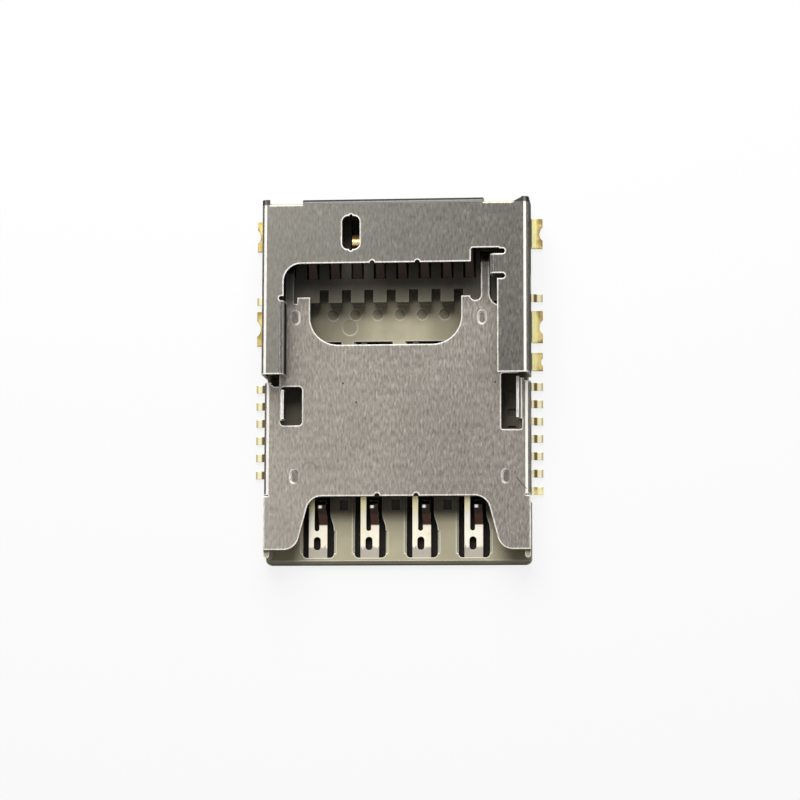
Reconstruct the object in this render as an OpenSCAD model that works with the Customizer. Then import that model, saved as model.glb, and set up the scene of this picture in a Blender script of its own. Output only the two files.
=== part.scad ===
// Stacked card socket for a circuit board: a lower slot for a phone card and an
// upper slot for a small memory card, seen with the card mouths towards -Y.
// The board is the plane z = 0, and +Y is the way that both cards go in.

/* [Overall] */
// Width over the folded side walls of both covers
shell_w = 13; // [11.7:0.05:14.3]
// Length of the rear block, from the lower card's stop to the top cover's rear fold
rear_l = 4.89; // [4.4:0.01:5.4]
// Length of the moulded lip in front of the lower contacts
front_lip = 0.36; // [0.3:0.01:0.5]
// How far the solder tails stand out beyond the side walls
tail_reach = 0.55; // [0.5:0.05:0.8]

/* [Levels] */
// Thickness of the moulded floor
floor_t = 0.34; // [0.32:0.01:0.4]
// Clear height of the lower slot
sim_gap = 0.89; // [0.86:0.01:0.95]
// Clear height of the upper slot
card_gap = 1.06; // [1.02:0.01:1.15]
// Thickness of the cover sheet
sheet_t = 0.13; // [0.1:0.01:0.15]
// Inner radius of every fold in the cover sheet
fold_r = 0.12; // [0.08:0.01:0.14]
// Running gap between the covers' walls and the moulding
fit_gap = 0.02; // [0.01:0.01:0.04]

/* [Lower slot] */
// Thickness of the moulded guide on the left of the lower slot
sim_guide_left = 0.135; // [0.1:0.005:0.2]
// Thickness of the moulded guide on the right of the lower slot
sim_guide_right = 0.405; // [0.35:0.005:0.5]
// Pitch of the lower contacts across the slot
sim_pitch = 2.54; // [2.3:0.01:2.8]
// Distance between the two rows of lower contacts
sim_row = 7.62; // [6.9:0.01:8.4]
// Distance from the stop to the crests of the rear row
sim_crest = 2.38; // [2.15:0.01:2.6]
// Height of the lower contacts' crests above the floor
sim_nose = 0.5; // [0.4:0.02:0.6]

/* [Upper slot] */
// Width of the left rail, from the shell's side to the memory card
rail_left_w = 1.1; // [1:0.01:1.2]
// Width of the right rail, from the shell's side to the memory card
rail_right_w = 0.77; // [0.7:0.01:0.85]
// Thickness of the moulded wall that stops the memory card
stop_wall = 0.5; // [0.4:0.02:0.6]
// Pitch of the memory card contacts
card_pitch = 1.1; // [1:0.01:1.2]
// Middle of the row of memory contacts, off the middle of the card
card_row_shift = -0.475; // [-0.5:0.005:-0.45]
// Height of the memory contacts' crests above the middle plate
card_nose = 0.45; // [0.35:0.02:0.55]
// Width of a memory contact at its root
card_root_w = 0.46; // [0.42:0.02:0.5]
// Width of a memory contact's beam
card_beam_w = 0.4; // [0.34:0.02:0.44]

/* [Contact strip] */
// Thickness of the contact strip
contact_t = 0.12; // [0.1:0.01:0.12]
// Width of the leads that run inside the floor
lead_w = 0.16; // [0.12:0.01:0.18]
// Width of a solder tail
tail_w = 0.38; // [0.3:0.02:0.44]

/* [Hidden] */
$fn = 48;

// Sides, ends and levels that the pieces share
half_w = shell_w / 2;
wall_in = half_w - sheet_t;
base_half = wall_in - fit_gap;
open_front = 2.45;
overall_l = front_lip + open_front + sim_row + sim_crest + rear_l;
front_y = -overall_l / 2;
rear_y = overall_l / 2;
base_rear = rear_y - sheet_t - fit_gap;
plate_z = floor_t + sim_gap;
plate_top = plate_z + sheet_t;
cover_z = plate_top + card_gap;
fold_out = fold_r + sheet_t;
fold_x = half_w - fold_out;
eps = 0.01;
// How far a folded strip laps into the flat that it is bent from
lap = 0.1;

// Lower slot
sim_left = -base_half + sim_guide_left;
sim_right = base_half - sim_guide_right;
sim_axis = (sim_left + sim_right) / 2;
sim_stop = rear_y - rear_l;
rear_crest = sim_stop - sim_crest;
front_crest = rear_crest - sim_row;
function sim_x(column) = sim_axis + sim_pitch * (column - 1.5);
// Opening in the floor round a lower contact, measured from its crest
open_rear = 0.55;
open_left = 0.74;
open_right = 0.79;
open_right_narrow = 0.6;
open_narrow_from = 0.18;
open_slant = 0.95;
open_end_r = 0.2;
open_bevel = 0.1;
// Slot beside a rear opening, where the strip between the contacts was cut after moulding
cut_slot = [1.115, 0.25];

// Upper slot
card_left = -half_w + rail_left_w;
card_right = half_w - rail_right_w;
card_row_axis = (card_left + card_right) / 2 + card_row_shift;
card_stop = base_rear - stop_wall;
block_top = plate_z - 0.13;
card_crest = card_stop - 1.4;
riser_y = sim_stop + 0.14;
beam_y = sim_stop + 1.16;
function card_x(i) = card_row_axis + card_pitch * (i - 3.5);

// Front edge of the middle plate, rails and window of the top cover
lobe_y = front_y + 0.69;
bay_y = front_y + 3.3;
fold_front = front_y + 3.36;
plate_rear = sim_stop + 0.24;
rail_front = sim_stop - 3.68;
fold_rear = rail_front - 0.18;
lip_rear = sim_stop - 0.06;
window_y = rear_y - 3.17;
corner_y = rear_y - 0.27;

// Lead frame inside the floor
lead_z = 0.1;
lead_gap = 0.25;
lead_clear = 0.27;
lead_shift = -0.18;
lead_columns = 4;
rear_tail_y = riser_y + contact_t;
tail_fold = 0.1;
tail_root = 0.2;
lead_seat = 0.12;
// Tails are spread evenly from the rails' front ends to the front row of openings
last_tail = 6;
first_tail_y = sim_stop - 4.12;
last_tail_y = front_crest + open_rear + 0.23;
tail_pitch = (first_tail_y - last_tail_y) / last_tail;
function tail_y(k) = first_tail_y - tail_pitch * k;
// Clear width of the floor beside the openings, where the leads run towards the front
lead_room_left = base_half + sim_x(0) - open_left;
lead_room_right = base_half - sim_x(3) - open_right;

// Latches: windows in the covers' walls over wedges on the moulding
latch_l = 0.9;
latch_h = 0.34;
latch_z = floor_t + 0.32;
latch_out = 0.1;
plate_latches = [front_y + 4.6, front_y + 7.2];
cover_latches = [rear_y - 4];

// Pairs of edge points along a strip that runs straight or turns, as on a folding tool
bend_steps = 6;
function normal(h) = [-sin(h), cos(h)];
function walk(path, t, i = 0, p = [0, 0], h = 0) =
  i == len(path)
    ? [[p, p + t * normal(h)]]
    : let (size = path[i][0], turn = path[i][1])
      turn == 0
        ? concat(
            [[p, p + t * normal(h)]],
            walk(path, t, i + 1, p + size * [cos(h), sin(h)], h)
          )
        : let (
            low = turn > 0 ? -(size + t) : size,
            high = turn > 0 ? -size : size + t,
            centre = p - low * normal(h)
          )
          concat(
            [
              for (k = [0 : bend_steps - 1])
                let (n = normal(h + turn * k / bend_steps)) [centre + low * n, centre + high * n]
            ],
            walk(path, t, i + 1, centre + low * normal(h + turn), h + turn)
          );

// Outline of a folded strip: each step is [length, 0] or [inner radius, turn]
module strip(path, t) {
  pairs = walk(path, t);
  last = len(pairs) - 1;
  polygon(concat([for (q = pairs) q[0]], [for (i = [last : -1 : 0]) pairs[i][1]]));
}

// A strip whose profile lies in the YZ plane, x0 to x1 wide, heading +Y at the start
module strip_along_y(path, t, x0, x1, y, z) {
  translate([x0, y, z]) rotate([90, 0, 90]) linear_extrude(x1 - x0) strip(path, t);
}

// A strip whose profile lies in the XZ plane, y0 to y1 long, heading +X at the start
module strip_along_x(path, t, y0, y1, x, z) {
  translate([x, y1, z]) rotate([90, 0, 0]) linear_extrude(y1 - y0) strip(path, t);
}

// A box between two corners
module box(low, high) {
  translate(low) cube(high - low);
}

// A slot with round ends from one point to another along X or Y
module round_slot(from, to, width) {
  r = width / 2;
  low = [min(from.x, to.x), min(from.y, to.y)];
  high = [max(from.x, to.x), max(from.y, to.y)];
  along_x = high.x - low.x > high.y - low.y;
  pad = along_x ? [0, r] : [r, 0];
  translate(from) circle(r);
  translate(to) circle(r);
  translate(low - pad) square(high - low + 2 * pad);
}

// A rectangle with round corners
module round_rect(low, high, r) {
  for (x = [low.x + r, high.x - r])
    for (y = [low.y + r, high.y - r])
      translate([x, y]) circle(r);
  translate([low.x + r, low.y]) square([high.x - low.x - 2 * r, high.y - low.y]);
  translate([low.x, low.y + r]) square([high.x - low.x, high.y - low.y - 2 * r]);
}

// A run of axis-aligned leads through a list of points
module lead_run(points, w) {
  for (i = [0 : len(points) - 2]) {
    a = points[i];
    b = points[i + 1];
    low = [min(a.x, b.x), min(a.y, b.y)] - [w / 2, w / 2];
    high = [max(a.x, b.x), max(a.y, b.y)] + [w / 2, w / 2];
    translate(low) square(high - low);
  }
}

// Leads at floor level, ending in a gull-wing tail on the left (-1) or right (+1) side
module lead_with_tail(points, side, y) {
  drop_turn = acos(1 - lead_z / (2 * tail_fold + contact_t));
  drop_run = (2 * tail_fold + contact_t) * sin(drop_turn);
  start = base_half - tail_root;
  level = half_w - fit_gap - start;
  foot = half_w + tail_reach - start - level - drop_run;
  path = [[level, 0], [tail_fold, -drop_turn], [tail_fold, drop_turn], [foot, 0]];
  translate([0, 0, lead_z])
    linear_extrude(contact_t) lead_run(concat(points, [[side * (start + lap), y]]), lead_w);
  mirror([side < 0 ? 1 : 0, 0, 0])
    strip_along_x(path, contact_t, y - tail_w / 2, y + tail_w / 2, start, lead_z);
}

// Lower contacts: column 0 to 3, in the rear row (true) or the front row
sim_body_left = 0.46;
sim_body_right = 0.45;
sim_arm_x = [0.055, 0.45];
sim_leg_x = [-0.46, -0.18];
sim_body_end = 1.02;
sim_root = 1.1;
sim_hole = [-1.9, -1.59];
sim_hole_w = 0.34;
sim_hole_x = -0.045;
sim_tip = 0.1;
sim_rise = 40;
sim_rise_r = 0.3;
sim_crest_r = 0.2;
sim_tip_turn = 62;

module sim_spring(x, crest) {
  climb = floor_t + sim_nose - contact_t - lead_z;
  bends = sim_rise_r + contact_t + sim_crest_r;
  slope = (climb - bends * (1 - cos(sim_rise))) / sin(sim_rise);
  run = bends * sin(sim_rise) + slope * cos(sim_rise);
  flat = open_front - run - sim_root;
  path = [
    [flat, 0], [sim_rise_r, sim_rise], [slope, 0],
    [sim_crest_r, -sim_rise - sim_tip_turn], [sim_tip, 0]
  ];
  strip_along_y(path, contact_t, x + sim_arm_x[0], x + sim_arm_x[1], crest - run - flat, lead_z);
  translate([x, crest, lead_z]) linear_extrude(contact_t) difference() {
    union() {
      translate([-sim_body_left, -open_front - lead_seat])
        square([sim_body_left + sim_body_right, open_front + lead_seat - sim_body_end]);
      translate([sim_leg_x[0], -open_front])
        square([sim_leg_x[1] - sim_leg_x[0], open_front + open_rear + lead_seat]);
    }
    round_slot([sim_hole_x, sim_hole[0]], [sim_hole_x, sim_hole[1]], sim_hole_w);
    // Round end of the slot between the leg and the arm
    translate([(sim_leg_x[1] + sim_arm_x[0]) / 2, -sim_body_end])
      circle((sim_arm_x[0] - sim_leg_x[1]) / 2);
  }
}

function rear_lead(column) = [
  [sim_x(column), rear_crest - open_front - lead_seat],
  [sim_x(column), tail_y(column == 2 ? 3 : 4)]
];
function front_lead(column) =
  let (x = sim_x(column) + (sim_leg_x[0] + sim_leg_x[1]) / 2)
  [[x, front_crest + open_rear], [x, tail_y(column == 2 ? 6 : 5)]];

module sim_contact_solid(number) {
  rear = number <= 4;
  column = (number - 1) % 4;
  crest = rear ? rear_crest : front_crest;
  points = rear ? rear_lead(column) : front_lead(column);
  sim_spring(sim_x(column), crest);
  if (column < 3)
    lead_with_tail(points, column == 0 ? -1 : 1, points[1].y);
}

// Memory contacts: 1 to 8 from the left, each with a riser in the rear block
card_rise = 32;
card_rise_r = 0.4;
card_crest_r = 0.25;
card_tip_turn = 45;
card_tip = 0.3;
card_taper = 0.5;
// Plastic over the roots of the memory contacts
root_cover = 0.18;

module card_spring(x) {
  root_z = block_top - root_cover - contact_t;
  climb = plate_top + card_nose - contact_t - root_z;
  bends = card_rise_r + contact_t + card_crest_r;
  slope = (climb - bends * (1 - cos(card_rise))) / sin(card_rise);
  run = bends * sin(card_rise) + slope * cos(card_rise);
  level = card_crest - run - riser_y - contact_t - tail_fold;
  path = [
    [root_z - tail_fold - lead_z, 0], [tail_fold, -90], [level, 0], [card_rise_r, card_rise],
    [slope, 0], [card_crest_r, -card_rise - card_tip_turn], [card_tip, 0]
  ];
  half_root = card_root_w / 2;
  half_beam = card_beam_w / 2;
  taper_y = beam_y + card_taper;
  intersection() {
    translate([x - half_root, riser_y + contact_t, lead_z])
      rotate([90, 0, 90]) linear_extrude(card_root_w) rotate(90) strip(path, contact_t);
    linear_extrude(cover_z) polygon([
      [x - half_root, riser_y - eps], [x + half_root, riser_y - eps],
      [x + half_root, beam_y], [x + half_beam, taper_y], [x + half_beam, rear_y],
      [x - half_beam, rear_y], [x - half_beam, taper_y], [x - half_root, beam_y]
    ]);
  }
}

function card_lead(i) =
  let (
    k = i < 4 ? i : 6 - i,
    side = i < 4 ? -1 : 1,
    x = card_x(i) + lead_shift,
    room = side < 0 ? lead_room_left : lead_room_right,
    across = rear_crest + open_rear + lead_clear + lead_gap * (lead_columns - 1 - k),
    column = side * (base_half - room * (k + 1) / (lead_columns + 1))
  )
  [[x, riser_y], [x, across], [column, across], [column, tail_y(k)]];

module card_contact_solid(number) {
  i = number - 1;
  card_spring(card_x(i));
  if (i == 7)
    lead_with_tail([[card_x(i), rear_tail_y]], 1, rear_tail_y);
  else
    lead_with_tail(card_lead(i), i < 4 ? -1 : 1, tail_y(i < 4 ? i : 6 - i));
}

// Switch leaf beside the memory card, standing on edge in the left guide
leaf_x = card_left - 0.45;
leaf_y = rear_y - 2.5;
leaf_z = plate_top + 0.2;
leaf_h = 0.5;
leaf_root = 0.4;
leaf_turn = 25;
leaf_nose = 0.12;
leaf_nose_r = 0.12;
leaf_nose_turn = 45;
leaf_r = 0.3;
leaf_tip = 0.15;
leaf_room = 0.15;
leaf_clear = 0.05;

module detect_solid() {
  reach = card_left + leaf_nose - leaf_x;
  bends = leaf_r + contact_t + leaf_nose_r;
  slope = (reach - contact_t - bends * (1 - cos(leaf_turn))) / sin(leaf_turn);
  path = [
    [leaf_root, 0], [leaf_r, -leaf_turn], [slope, 0],
    [leaf_nose_r, leaf_turn + leaf_nose_turn], [leaf_tip, 0]
  ];
  translate([leaf_x, leaf_y, leaf_z]) linear_extrude(leaf_h) rotate(90) strip(path, contact_t);
  box([leaf_x - contact_t, leaf_y, lead_z], [leaf_x, leaf_y + leaf_root, leaf_z + leaf_h]);
  lead_with_tail(
    [[leaf_x - contact_t / 2, leaf_y + leaf_root / 2], [leaf_x - contact_t / 2, rear_tail_y]],
    -1, rear_tail_y
  );
}

// Moulding
front_wall = 0.285;
front_r = 0.3;
front_corner = 0.5;
lead_in = [0.22, 0.17];
card_guide_l = 2.9;
key_block = [0.98, 2.35];
pocket = [0.42, 0.52];
pocket_from_bay = 0.1;
pocket_depth = 0.18;
mark_d = 0.75;
mark_depth = 0.03;
mark_at = [1, 1.14];
slot_end = 0.1;
pocket_lead = 0.1;
pin_d = 0.55;
pin_y = sim_stop - 0.51;
pin_depth = 0.06;
side_pocket = [0.4, 0.38];
side_pocket_gap = 0.2;
side_pocket_depth = 0.1;
side_pockets = 3;
comb_w = 0.45;
comb_l = 0.64;
slot_w = 0.62;
slot_floor = floor_t + 0.15;
tongue_gap = 0.06;

module floor_outline() {
  translate([-base_half, front_y + front_corner])
    square([2 * base_half, base_rear - front_y - front_corner]);
  difference() {
    round_rect([-half_w, front_y], [half_w, bay_y], front_r);
    translate([-half_w, bay_y - front_r]) square([shell_w, 2 * front_r]);
  }
}

module moulding_blank() {
  linear_extrude(floor_t) floor_outline();
  // Side guides of the lower slot, which also carry the middle plate
  box([-base_half, bay_y, 0], [sim_left, sim_stop + eps, plate_z]);
  box([sim_right, bay_y, 0], [base_half, sim_stop + eps, plate_z]);
  // Front posts under the plate's lobes, with round noses
  for (side = [-1, 1]) {
    outer = side * half_w;
    inner = side * (half_w - front_wall);
    nose_y = front_y + front_r + front_wall / 2;
    neck = side * base_half;
    box([min(outer, inner), nose_y, 0], [max(outer, inner), bay_y - front_r, plate_z]);
    box([min(neck, inner), bay_y - front_r - lap, 0], [max(neck, inner), bay_y + eps, plate_z]);
    translate([(outer + inner) / 2, nose_y, 0]) cylinder(h = plate_z, d = front_wall);
  }
  // Rear block: stop of the lower card and bed of the memory contacts
  box([-base_half, sim_stop, 0], [base_half, base_rear, block_top]);
  // Stop and side guides of the memory card, which carry the top cover
  box([-base_half, card_stop, 0], [base_half, base_rear, cover_z]);
  box([-base_half, rear_y - card_guide_l, 0], [card_left, base_rear, cover_z]);
  box([card_right - key_block.x, rear_y - key_block.y, 0], [base_half, base_rear, cover_z]);
  // Latch wedges under the windows of both covers' walls
  for (side = [-1, 1])
    for (y = concat(plate_latches, cover_latches))
      mirror([side < 0 ? 1 : 0, 0, 0]) latch_wedge(y);
}

module latch_wedge(y) {
  x = base_half - eps;
  low = latch_z + fit_gap;
  translate([0, y + latch_l / 2 - fit_gap, 0]) rotate([90, 0, 0]) linear_extrude(latch_l - 2 * fit_gap)
    polygon([
      [x, low], [base_half + latch_out, low],
      [base_half + latch_out, latch_z + latch_out], [x, latch_z + latch_h - fit_gap]
    ]);
}

// Bevels along the moulding's top edges, clear of the round inside of a cover's fold
relief_corner = [[-eps, eps], [half_w, eps], [half_w, -half_w]];

module side_relief(y0, y1, z) {
  for (side = [0, 1])
    mirror([side, 0, 0]) translate([base_half - fold_r, y1, z]) rotate([90, 0, 0])
      linear_extrude(y1 - y0) polygon(relief_corner);
}

module rear_relief(z) {
  translate([-half_w, base_rear - fold_r, z]) rotate([90, 0, 90])
    linear_extrude(shell_w) polygon(relief_corner);
}

// Outline of an opening from its crest, with round front corners and an S-curve at the right
module opening_outline() {
  step = open_right - open_right_narrow;
  bend_turn = 2 * atan(step / open_slant);
  bend_r = open_slant / (2 * sin(bend_turn));
  bend_rear = -open_narrow_from;
  bend_front = bend_rear - open_slant;
  corner = -open_front + open_end_r;
  difference() {
    union() {
      round_rect([-open_left, -open_front], [open_right, corner + 2 * open_end_r], open_end_r);
      polygon([
        [-open_left, corner], [open_right, corner], [open_right, bend_front],
        [open_right_narrow, bend_rear], [open_right_narrow, open_rear], [-open_left, open_rear]
      ]);
      intersection() {
        translate([open_right - bend_r, bend_front]) circle(bend_r);
        translate([open_right_narrow, bend_front]) square([step, open_slant / 2]);
      }
    }
    intersection() {
      translate([open_right_narrow + bend_r, bend_rear]) circle(bend_r);
      translate([open_right_narrow, bend_rear - open_slant / 2]) square([step, open_slant / 2]);
    }
  }
}

module sim_opening(x, crest) {
  translate([x, crest, -eps]) linear_extrude(floor_t + 2 * eps) opening_outline();
  // Bevels along the two long edges
  bevel = open_bevel + eps;
  bend_front = open_narrow_from + open_slant;
  translate([x - open_left, crest + open_rear, floor_t]) rotate([90, 0, 0])
    linear_extrude(open_front - open_end_r + open_rear)
      polygon([[-bevel, eps], [eps, eps], [eps, -bevel]]);
  translate([x + open_right, crest - bend_front, floor_t]) rotate([90, 0, 0])
    linear_extrude(open_front - open_end_r - bend_front)
      polygon([[-eps, eps], [bevel, eps], [-eps, -bevel]]);
}

// Tongues of the middle plate that hook into the rear block
tongue_w = 0.41;
left_tongue_x = card_x(0) - slot_w / 2 - 0.59;
right_tongue_x = card_x(7) + slot_w / 2 + 0.26;
left_tongue = [left_tongue_x - tongue_w, left_tongue_x];
right_tongue = [right_tongue_x, right_tongue_x + tongue_w];
left_tongue_y = sim_stop + 1.35;
right_tongue_y = sim_stop + 1.78;
tongue_turn = 55;
tongue_drop = 0.35;
tongue_r = 0.25;

module tongue_pocket(span, y) {
  reach = (tongue_r + sheet_t) * sin(tongue_turn) + tongue_drop * cos(tongue_turn);
  box(
    [span[0] - tongue_gap, y - pocket_lead, floor_t],
    [span[1] + tongue_gap, y + reach + sheet_t + tongue_gap, cover_z]
  );
}

module base_moulding() {
  color([0.72, 0.68, 0.6]) difference() {
    moulding_blank();
    for (column = [0 : 3]) {
      sim_opening(sim_x(column), rear_crest);
      sim_opening(sim_x(column), front_crest);
      box(
        [sim_x(column), rear_crest + open_rear - cut_slot.y, -eps],
        [sim_x(column) + cut_slot.x, rear_crest + open_rear, floor_t + eps]
      );
    }
    // Small pockets between the front openings
    for (column = [0 : 2])
      translate([sim_x(column) + (sim_pitch - pocket.x) / 2, bay_y - pocket_from_bay - pocket.y, floor_t])
        translate([0, 0, -pocket_depth]) cube([pocket.x, pocket.y, pocket_depth + eps]);
    // Pockets between the leads at the right side
    for (k = [1 : side_pockets])
      translate([sim_right - side_pocket.x - side_pocket_gap, tail_y(k - 0.5) - side_pocket.y / 2, floor_t])
        translate([0, 0, -side_pocket_depth]) cube([side_pocket.x, side_pocket.y, floor_t]);
    // Marks left by the pins that held the leads while the floor was moulded
    for (i = [1 : 6])
      translate([card_x(i) + lead_shift, pin_y, floor_t - pin_depth]) cylinder(h = floor_t, d = pin_d);
    translate([sim_x(1) - mark_at.x, sim_stop - mark_at.y, floor_t - mark_depth])
      cylinder(h = floor_t, d = mark_d);
    // Lead-in along the front edge of the floor
    translate([-half_w - eps, 0, 0]) rotate([90, 0, 90]) linear_extrude(shell_w + 2 * eps)
      polygon([
        [front_y - eps, floor_t - lead_in.y], [front_y + lead_in.x, floor_t + eps],
        [front_y - eps, floor_t + eps]
      ]);
    // Comb between the roots of the memory contacts
    for (i = [0 : 6])
      translate([card_x(i) + card_pitch / 2 - comb_w / 2, sim_stop - eps, floor_t])
        cube([comb_w, comb_l, cover_z]);
    // Slots under the memory contacts' beams
    for (i = [0 : 7])
      translate([card_x(i) - slot_w / 2, beam_y, slot_floor])
        cube([slot_w, card_stop - slot_end - beam_y, cover_z]);
    tongue_pocket(left_tongue, left_tongue_y);
    tongue_pocket(right_tongue, right_tongue_y);
    // Room for the switch leaf to move
    box(
      [leaf_x - contact_t - leaf_room, leaf_y + leaf_root, leaf_z - leaf_clear],
      [card_left + eps, card_stop - slot_end, leaf_z + leaf_h + leaf_clear]
    );
    side_relief(bay_y, fold_rear, plate_z);
    side_relief(fold_rear, rear_y, cover_z);
    rear_relief(cover_z);
    // Beds of the moulded-in metal
    for (number = [1 : 8]) {
      sim_contact_solid(number);
      card_contact_solid(number);
    }
    detect_solid();
  }
}

// Middle plate: cover of the lower slot and floor of the memory card
guide_left = card_left - 0.05;
guide_right = card_right + 0.12;
guide_h = 0.62;
slot_left_r = 0.18;
slot_right_r = 0.1;
slot_left = [guide_left + 0.82, rail_front - 0.48, rail_front - 2.38];
slot_right = [guide_right - 0.77, rail_front + 0.1, rail_front - 2.64];
guide_left_y = [slot_left[2] + 0.25, slot_left[1] - 0.22];
guide_right_y = [slot_right[2] + 0.51, slot_right[1] - 0.23];
ear_left = left_tongue[1] + 0.16;
ear_right = right_tongue[0] - 0.54;
ear_gap = right_tongue[0] - ear_right;
ear_gap_y = sim_stop + 0.28;
plate_window = [ear_left + 0.63, ear_right - 0.42];
plate_window_y = sim_stop - 2.12;
plate_window_r = 1.4;
plate_shoulder = sim_stop - 0.26;
tongue_fillet = 0.6;
left_gap_y = sim_stop - 0.07;
relief_rear = rail_front + 0.14;
relief_front = rail_front - 0.26;
relief_left = [-fold_x - 0.05, -fold_x + 0.25, -fold_x + 0.5];
relief_right = [fold_x + 0.05, fold_x - 0.15, fold_x - 0.35];
relief_deep = rail_front - 0.46;
plate_wall_z = floor_t + 0.08;
dimple = [0.36, 0.64];
dimple_h = 0.05;
dimples = [
  [-half_w + 1.53, sim_stop - 0.76], [half_w - 2.34, sim_stop - 0.83],
  [-half_w + 1.5, front_y + 4.25], [half_w - 1.19, front_y + 4.21]
];
nick_r = 0.13;
bay_nick_x = 0.95;
// S-curve from a lobe to the bay: two arcs and a straight flank
lobe_turn = 75;
lobe_r = 0.75;
lobe_flank = 1.54;
lobe_x = [-half_w + 1, half_w - 0.86];

// Bay between the lobes, as seen from above, with one S-curve on each side
module lobe_bay() {
  step = [sin(lobe_turn), 1 - cos(lobe_turn)] * lobe_r;
  flank = [cos(lobe_turn), sin(lobe_turn)] * lobe_flank;
  depth = 2 * step.y + flank.y;
  for (side = [-1, 1]) {
    start = side < 0 ? lobe_x[0] : lobe_x[1];
    translate([start, lobe_y]) mirror([side < 0 ? 0 : 1, 0]) {
      difference() {
        polygon([
          [0, -lobe_r], [0, 0], step, step + flank, 2 * step + flank, [half_w, depth], [half_w, -lobe_r]
        ]);
        translate([0, lobe_r]) circle(lobe_r);
      }
      intersection() {
        translate([step.x * 2 + flank.x, depth - lobe_r]) circle(lobe_r);
        translate(step + flank) square([step.x, step.y]);
      }
    }
  }
}

module plate_outline() {
  root = sim_stop - lap - fold_out;
  difference() {
    union() {
      translate([-half_w, lobe_y]) square([shell_w, bay_y - lobe_y]);
      translate([-fold_x, bay_y - lap]) square([2 * fold_x, plate_shoulder - bay_y + lap]);
      translate([ear_left, root]) square([ear_right - ear_left, plate_rear - root]);
      for (span = [left_tongue, right_tongue])
        translate([span[0], root]) square([tongue_w, sim_stop + lap - root]);
      translate([ear_right - eps, root]) square([ear_gap + 2 * eps, ear_gap_y - root]);
      translate([left_tongue[1] - eps, root])
        square([ear_left - left_tongue[1] + 2 * eps, left_gap_y - root]);
      // Fillet beside the right tongue
      difference() {
        translate([right_tongue[1] - eps, plate_shoulder - eps]) square(tongue_fillet);
        translate([right_tongue[1], plate_shoulder] + tongue_fillet * [1, 1]) circle(tongue_fillet);
      }
    }
    lobe_bay();
    for (x = [-bay_nick_x, bay_nick_x])
      translate([x, bay_y]) circle(nick_r);
    // Window over the roots of the memory contacts
    round_rect([plate_window[0], plate_window_y], [plate_window[1], rear_y], plate_window_r);
    // Round bottom of the gap beside the right tongue
    translate([(ear_right + right_tongue[0]) / 2, ear_gap_y]) circle(ear_gap / 2);
    // Slots that the card guides were lanced from
    round_rect(
      [guide_left - fold_out, slot_left[2]], [slot_left[0], slot_left[1]], slot_left_r
    );
    round_rect(
      [slot_right[0], slot_right[2]], [guide_right + fold_out, slot_right[1]], slot_right_r
    );
    // Reliefs at the rear ends of the side folds
    polygon([
      [-2 * half_w, relief_rear], [relief_left[2], relief_rear], [relief_left[2], relief_deep],
      [relief_left[1], relief_deep], [relief_left[0], relief_front], [-2 * half_w, relief_front]
    ]);
    polygon([
      [2 * half_w, relief_rear], [relief_right[2], relief_rear], [relief_right[2], relief_deep],
      [relief_right[1], relief_deep], [relief_right[0], relief_front], [2 * half_w, relief_front]
    ]);
  }
}

// Openings through both side walls over a pair of latch wedges
module latch_window(y) {
  box([-shell_w, y - latch_l / 2, latch_z], [shell_w, y + latch_l / 2, latch_z + latch_h]);
}

module dimple_shape() {
  round_slot([0, (dimple.x - dimple.y) / 2], [0, (dimple.y - dimple.x) / 2], dimple.x);
}

module sim_cover() {
  wall = plate_z - fold_r - plate_wall_z;
  fold_path = [[lap, 0], [fold_r, -90], [wall, 0]];
  hook_path = [[left_tongue_y - sim_stop, 0], [tongue_r, -tongue_turn], [tongue_drop, 0]];
  long_hook_path = [[right_tongue_y - sim_stop, 0], [tongue_r, -tongue_turn], [tongue_drop, 0]];
  guide_path = [[lap, 0], [fold_r, 90], [guide_h - fold_r, 0]];
  color([0.62, 0.61, 0.58]) {
    difference() {
      union() {
        translate([0, 0, plate_z]) linear_extrude(sheet_t) plate_outline();
        for (at = dimples)
          translate([at.x, at.y, plate_z - dimple_h]) linear_extrude(sheet_t) dimple_shape();
      }
      for (at = dimples)
        translate([at.x, at.y, plate_top - dimple_h]) linear_extrude(sheet_t) dimple_shape();
    }
    difference() {
      for (side = [0, 1])
        mirror([side, 0, 0])
          strip_along_x(fold_path, sheet_t, fold_front, relief_front, fold_x - lap, plate_z);
      for (y = plate_latches)
        latch_window(y);
    }
    strip_along_y(hook_path, sheet_t, left_tongue[0], left_tongue[1], sim_stop, plate_z);
    strip_along_y(long_hook_path, sheet_t, right_tongue[0], right_tongue[1], sim_stop, plate_z);
    strip_along_x(
      guide_path, sheet_t, guide_left_y[0], guide_left_y[1], guide_left - fold_out - lap, plate_z
    );
    mirror([1, 0, 0])
      strip_along_x(
        guide_path, sheet_t, guide_right_y[0], guide_right_y[1], -guide_right - fold_out - lap, plate_z
      );
  }
}

// Top cover: rails and roof of the memory card slot
rail_right = half_w - 1.53;
window_left = card_left - 0.02;
window_r = 0.85;
window_nick_r = 0.12;
window_nick_x = 1.1;
window_step = half_w - 2.8;
window_top = rear_y - 2.5;
step_r = 0.1;
key_edge = half_w - 1.89;
key_span = [rear_y - 3.76, rear_y - 2.8];
key_relief = 0.25;
key_root = half_w - 1.4;
key_lap = 0.2;
key_drop = 0.75;
lip_end = 0.2;
lip_gap = 0.06;
rear_fold = [-half_w + 2, half_w - 2.2];
corner_notch = [-half_w + 0.39, half_w - 0.8];
cover_wall_z = floor_t - 0.02;
feet_right = [
  [rear_y - 2.18, rear_y - 0.7], [sim_stop - 1.96, sim_stop - 0.38], [sim_stop - 3.34, sim_stop - 2.45]
];
feet_left = [[rear_y - 2.15, rear_y - 0.65], [sim_stop - 1.98, sim_stop - 0.26]];
foot_r = 0.1;
foot_lap = 0.3;
foot_waist = 0.3;
foot_bite = 0.65;
peep_r = 0.3;
peep_nick_r = 0.08;
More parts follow.
